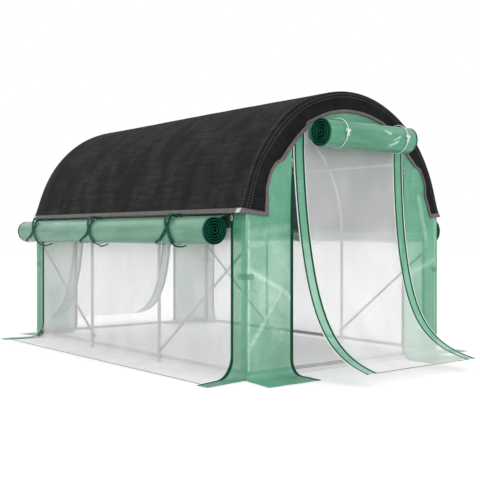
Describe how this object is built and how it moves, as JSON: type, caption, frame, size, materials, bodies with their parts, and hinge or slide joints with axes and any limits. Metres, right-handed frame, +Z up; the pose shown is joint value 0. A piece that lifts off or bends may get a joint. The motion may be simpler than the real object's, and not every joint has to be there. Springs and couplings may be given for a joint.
{
  "type": "polytunnel",
  "caption": "Walk-in garden polytunnel: steel hoops, green cover, net sides, rolled-up side walls and doors, flared net doors and a black shade cloth.",
  "frame": {"origin": "on the ground, at the centre of the tunnel's footprint", "axes": "+Z up, +Y along the tunnel to its back end, +X to its right side seen from the front end"},
  "size_m": [2.5956, 4.3308, 1.9449],
  "materials": {
    "tube": "white powder coat",
    "foot": "moulded",
    "cover": "green woven polyethylene film with a reinforcing grid, a little translucent",
    "roll": "the same green film, rolled up in many layers",
    "net": "fine white insect net",
    "shade": "black knitted shade cloth",
    "strap": "dark green woven tape",
    "zip": "satin"
  },
  "bodies": {
    "tunnel": {"arch_back": "tube", "arch_front": "tube", "arch_mid_back": "tube", "arch_mid_front": "tube", "base_rail_back": "tube", "base_rail_front": "tube", "base_rail_left": "tube", "base_rail_right": "tube", "brace_back_left": "tube", "brace_back_right": "tube", "brace_front_left": "tube", "brace_front_right": "tube", "door_curtain_back": "cover", "door_curtain_front": "cover", "eave_rail_left": "tube", "eave_rail_right": "tube", "end_panel_back": "cover", "end_panel_front": "cover", "foot_back_left": "foot", "foot_back_right": "foot", "foot_front_left": "foot", "foot_front_right": "foot", "foot_mid_back_left": "foot", "foot_mid_back_right": "foot", "foot_mid_front_left": "foot", "foot_mid_front_right": "foot", "leg_back_left": "tube", "leg_back_right": "tube", "leg_front_left": "tube", "leg_front_right": "tube", "leg_mid_back_left": "tube", "leg_mid_back_right": "tube", "leg_mid_front_left": "tube", "leg_mid_front_right": "tube", "net_door_back": "net", "net_door_front": "net", "purlin_left": "tube", "purlin_right": "tube", "ridge_rail": "tube", "roof_cover": "cover", "shade_cloth": "shade", "side_net_left": "net", "side_net_right": "net", "wall_curtain_left": "cover", "wall_curtain_right": "cover"},
    "wall_roll_left_body": {"wall_roll_left": "roll", "wall_strap_front_left": "strap", "wall_strap_middle_left": "strap", "wall_strap_back_left": "strap"},
    "wall_roll_right_body": {"wall_roll_right": "roll", "wall_strap_front_right": "strap", "wall_strap_middle_right": "strap", "wall_strap_back_right": "strap"},
    "door_roll_front_body": {"door_roll_front": "roll"},
    "zip_slider_front_left_body": {"zip_slider_front_left": "zip"},
    "zip_slider_front_right_body": {"zip_slider_front_right": "zip"},
    "door_roll_back_body": {"door_roll_back": "roll"},
    "zip_slider_back_left_body": {"zip_slider_back_left": "zip"},
    "zip_slider_back_right_body": {"zip_slider_back_right": "zip"}
  },
  "joints": [
    {"name": "wall_roll_left_lower", "type": "slide", "parent": "tunnel", "child": "wall_roll_left_body", "axis": [0, 0, -1], "range_m": [0, 0.75], "deforming": ["wall_curtain_left"]},
    {"name": "wall_roll_right_lower", "type": "slide", "parent": "tunnel", "child": "wall_roll_right_body", "axis": [0, 0, -1], "range_m": [0, 0.75], "deforming": ["wall_curtain_right"]},
    {"name": "door_roll_front_lower", "type": "slide", "parent": "tunnel", "child": "door_roll_front_body", "axis": [0, -0.2446, -0.9696], "range_m": [0, 1.36], "deforming": ["door_curtain_front"]},
    {"name": "zip_front_left_slide", "type": "slide", "parent": "tunnel", "child": "zip_slider_front_left_body", "axis": [0, 0, -1], "range_m": [0, 1.15]},
    {"name": "zip_front_right_slide", "type": "slide", "parent": "tunnel", "child": "zip_slider_front_right_body", "axis": [0, 0, -1], "range_m": [0, 1.15]},
    {"name": "door_roll_back_lower", "type": "slide", "parent": "tunnel", "child": "door_roll_back_body", "axis": [0, 0.2446, -0.9696], "range_m": [0, 1.36], "deforming": ["door_curtain_back"]},
    {"name": "zip_back_left_slide", "type": "slide", "parent": "tunnel", "child": "zip_slider_back_left_body", "axis": [0, 0, -1], "range_m": [0, 1.15]},
    {"name": "zip_back_right_slide", "type": "slide", "parent": "tunnel", "child": "zip_slider_back_right_body", "axis": [0, 0, -1], "range_m": [0, 1.15]}
  ]
}
